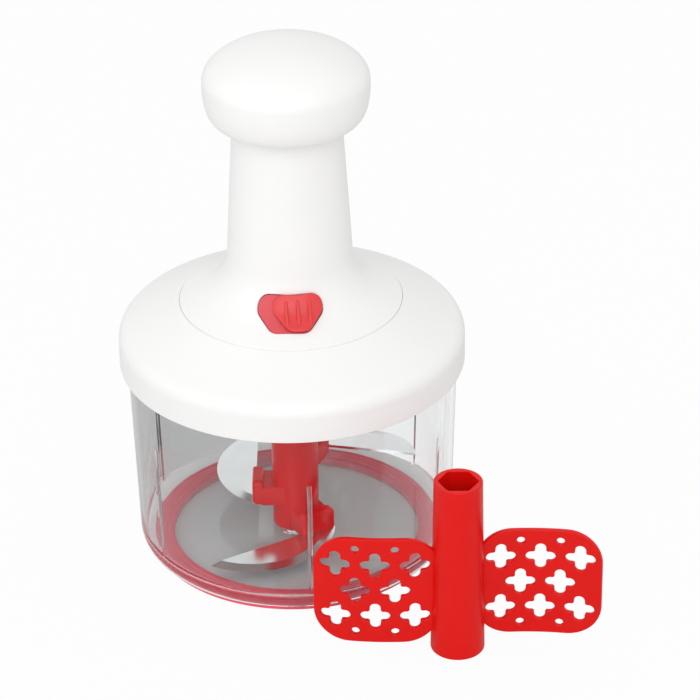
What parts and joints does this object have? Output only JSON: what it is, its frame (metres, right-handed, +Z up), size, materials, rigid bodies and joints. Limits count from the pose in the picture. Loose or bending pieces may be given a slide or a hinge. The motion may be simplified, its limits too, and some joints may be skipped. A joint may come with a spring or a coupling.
{
  "type": "hand-press food chopper",
  "caption": "Hand-press food chopper: clear bowl with half-moon blades, white lid with a pump knob on a flared tower, red sliding lock and a loose perforated mixing paddle.",
  "frame": {"origin": "on the bowl's axis at table level, in the plane of the non-slip ring's underside", "axes": "+Z up along the bowl, stem and knob; -Y towards the lock at the front; +X to the right of it"},
  "size_m": [0.1913, 0.1676, 0.2233],
  "materials": {
    "clear_plastic": "clear, polished",
    "white_plastic": "moulded, semi-gloss",
    "red_plastic": "moulded, glossy",
    "red_rubber": "moulded silicone",
    "seal_rubber": "moulded silicone",
    "blade_steel": "polished, ground edge",
    "plain_steel": "turned and plated",
    "spring_steel": "drawn wire",
    "acetal": "moulded, matt",
    "bronze": "sintered"
  },
  "bodies": {
    "bowl_unit": {"bowl": "clear_plastic", "base_ring": "red_rubber", "pivot_pin": "plain_steel"},
    "blade_unit": {"blade_stem": "red_plastic", "blade_lower": "blade_steel", "blade_middle": "blade_steel", "blade_upper": "blade_steel"},
    "lid_unit": {"lid": "white_plastic", "lid_seal": "seal_rubber", "tower": "white_plastic", "mechanism_plate": "acetal", "plate_screws": "plain_steel", "shaft_bush": "bronze", "clutch_cover": "acetal", "cover_screws": "plain_steel", "guide_bush": "acetal", "lock_frame": "red_plastic", "return_spring": "spring_steel"},
    "drive_unit": {"drive_shaft": "acetal", "pawl_hub": "acetal", "spindle": "plain_steel", "thrust_washer": "bronze"},
    "knob_unit": {"plunger_tube": "white_plastic", "drive_nut": "acetal", "knob_cap": "white_plastic", "knob_carrier": "white_plastic", "knob_screws": "plain_steel"},
    "lock_unit": {"lock_slider": "red_plastic", "lock_latch": "acetal"},
    "paddle": {"mixing_paddle": "red_plastic"}
  },
  "joints": [
    {"name": "lid_lift", "type": "slide", "parent": "bowl_unit", "child": "lid_unit", "axis": [0, 0, 1], "range_m": [0, 0.13]},
    {"name": "knob_press", "type": "slide", "parent": "lid_unit", "child": "knob_unit", "axis": [0, 0, 1], "range_m": [0, 0.045], "deforming": ["return_spring"]},
    {"name": "drive_spin", "type": "hinge", "parent": "lid_unit", "child": "drive_unit", "pos_m": [0, 0, 0.1], "axis": [0, 0, 1], "continuous": true},
    {"name": "blade_spin", "type": "hinge", "parent": "bowl_unit", "child": "blade_unit", "pos_m": [0, 0, 0.01], "axis": [0, 0, 1], "continuous": true},
    {"name": "lock_turn", "type": "hinge", "parent": "lid_unit", "child": "lock_unit", "pos_m": [0, 0, 0.12], "axis": [0, 0, 1], "range_deg": [-11.9, 0]},
    {"name": "paddle_lift", "type": "slide", "parent": "bowl_unit", "child": "paddle", "axis": [0, 0, 1], "range_m": [0, 0.08]}
  ],
  "couplings": [
    {"joint": "drive_spin", "follows": "knob_press", "rad_per_m": -209.44},
    {"joint": "blade_spin", "follows": "knob_press", "rad_per_m": -209.44}
  ]
}
